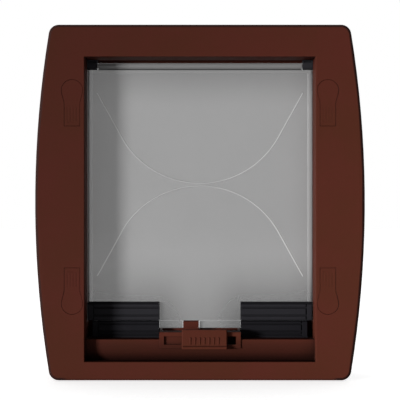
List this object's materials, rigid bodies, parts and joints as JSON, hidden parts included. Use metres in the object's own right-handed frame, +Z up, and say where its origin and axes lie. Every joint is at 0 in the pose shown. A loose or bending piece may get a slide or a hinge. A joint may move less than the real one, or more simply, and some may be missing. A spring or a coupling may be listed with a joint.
{
  "type": "cat flap",
  "caption": "Cat flap with a bowed brown frame for each side of a door, a see-through flap that swings both ways and is held by magnets, and a sliding lock in its sill.",
  "frame": {"origin": "centre of the passage, on the plane where the interior frame's flange meets the door", "axes": "+X to the right seen from inside the room, +Y through the door to outdoors, +Z up"},
  "size_m": [0.21, 0.049, 0.2265],
  "materials": {
    "brown_plastic": "fine-grained satin moulding",
    "black_plastic": "satin moulding",
    "clear_plastic": "clear, lightly smoked, polished",
    "magnet": "ground ferrite",
    "steel": "zinc-plated"
  },
  "bodies": {
    "frame": {"interior_frame": "brown_plastic", "exterior_frame": "brown_plastic", "hinge_rod": "steel", "hinge_bracket_left": "black_plastic", "hinge_bracket_right": "black_plastic", "bracket_screws": "steel", "frame_magnet_holder_left": "black_plastic", "frame_magnet_holder_right": "black_plastic", "frame_magnet_left": "magnet", "frame_magnet_right": "magnet", "sill_back_plate": "brown_plastic", "sill_plate_screws": "steel", "screw_cover_top_left": "brown_plastic", "screw_cover_top_right": "brown_plastic", "screw_cover_bottom_left": "brown_plastic", "screw_cover_bottom_right": "brown_plastic", "fixing_screws": "steel"},
    "flap": {"flap_panel": "clear_plastic", "flap_magnet_holder_left": "black_plastic", "flap_magnet_holder_right": "black_plastic", "flap_magnet_left": "magnet", "flap_magnet_right": "magnet"},
    "lock": {"lock_slide": "brown_plastic"}
  },
  "joints": [
    {"name": "flap_swing", "type": "hinge", "parent": "frame", "child": "flap", "pos_m": [0, 0.013, 0.0931], "axis": [1, 0, 0], "range_deg": [-85, 85]},
    {"name": "lock_travel", "type": "slide", "parent": "frame", "child": "lock", "axis": [1, 0, 0], "range_m": [0, 0.0064]}
  ]
}
